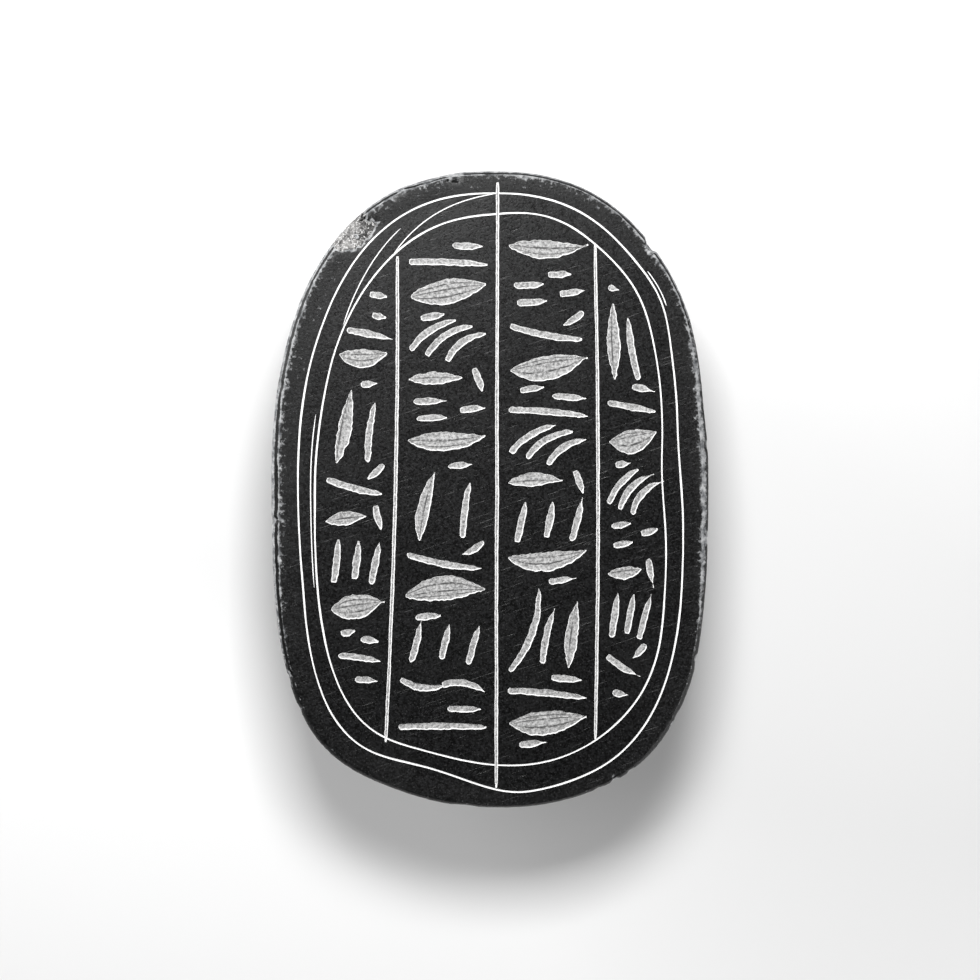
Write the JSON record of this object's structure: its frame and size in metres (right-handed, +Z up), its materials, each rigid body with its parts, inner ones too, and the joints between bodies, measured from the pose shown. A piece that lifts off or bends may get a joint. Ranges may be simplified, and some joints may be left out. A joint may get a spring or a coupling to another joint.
{
  "type": "heart scarab amulet",
  "caption": "Carved stone heart scarab that lies on its beetle back, with a flat inscribed oval face up, a double border and four columns of shallow strokes.",
  "frame": {"origin": "on the surface that the beetle back rests on, below the middle of the box", "axes": "+Z up out of the inscribed face, +Y towards the beetle's head, +X to the right of the inscribed face"},
  "size_m": [0.0686, 0.0999, 0.036],
  "materials": {
    "black_stone": "matt, honed by hand, with pale scratches where it is cut or chipped"
  },
  "bodies": {
    "root": {"scarab": "black_stone"}
  },
  "joints": []
}
